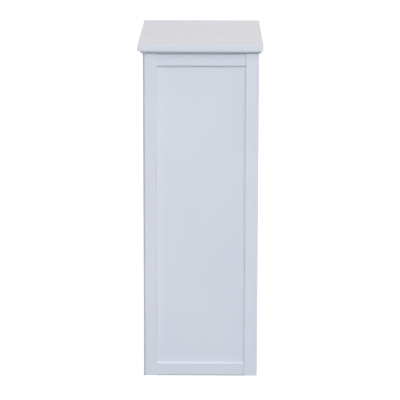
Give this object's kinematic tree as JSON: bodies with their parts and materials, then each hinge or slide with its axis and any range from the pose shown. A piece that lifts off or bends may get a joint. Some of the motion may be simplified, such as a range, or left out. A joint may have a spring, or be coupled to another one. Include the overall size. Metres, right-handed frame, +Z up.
{
  "type": "shelf unit",
  "caption": "Open-fronted white painted shelf unit with framed and panelled sides, a coved top board, a fixed bottom shelf and adjustable shelves on pins.",
  "frame": {"origin": "on the floor, under the middle of the top board", "axes": "+Z up, +X to the right along the width, +Y towards the back; the open front faces -Y"},
  "size_m": [0.55, 0.33, 0.9],
  "materials": {
    "white_paint": "satin white paint on wood",
    "back_board": "white-faced thin board, raw grey-brown edge",
    "zinc": "zinc-plated steel",
    "beech": "plain beech dowel",
    "glide_plastic": "moulded plastic"
  },
  "bodies": {
    "carcass": {"top_board": "white_paint", "front_left_post": "white_paint", "front_right_post": "white_paint", "rear_left_post": "white_paint", "rear_right_post": "white_paint", "left_top_rail": "white_paint", "left_bottom_rail": "white_paint", "right_top_rail": "white_paint", "right_bottom_rail": "white_paint", "front_top_rail": "white_paint", "front_bottom_rail": "white_paint", "rear_top_rail": "white_paint", "rear_bottom_rail": "white_paint", "left_panel": "white_paint", "right_panel": "white_paint", "bottom_shelf": "white_paint", "back_panel": "back_board", "lower_shelf_pins": "zinc", "upper_shelf_pins": "zinc", "top_brackets": "zinc", "rail_dowels": "beech", "cam_bolts": "zinc", "cam_locks": "zinc", "top_bracket_screws": "zinc", "back_panel_screws": "zinc", "bottom_shelf_screws": "zinc", "front_left_glide": "glide_plastic", "front_right_glide": "glide_plastic", "rear_left_glide": "glide_plastic", "rear_right_glide": "glide_plastic"},
    "lower_shelf": {"lower_shelf": "white_paint"},
    "upper_shelf": {"upper_shelf": "white_paint"}
  },
  "joints": [
    {"name": "lower_shelf_slide", "type": "slide", "parent": "carcass", "child": "lower_shelf", "axis": [0, -1, 0], "range_m": [0, 0.3]},
    {"name": "upper_shelf_slide", "type": "slide", "parent": "carcass", "child": "upper_shelf", "axis": [0, -1, 0], "range_m": [0, 0.3]}
  ]
}
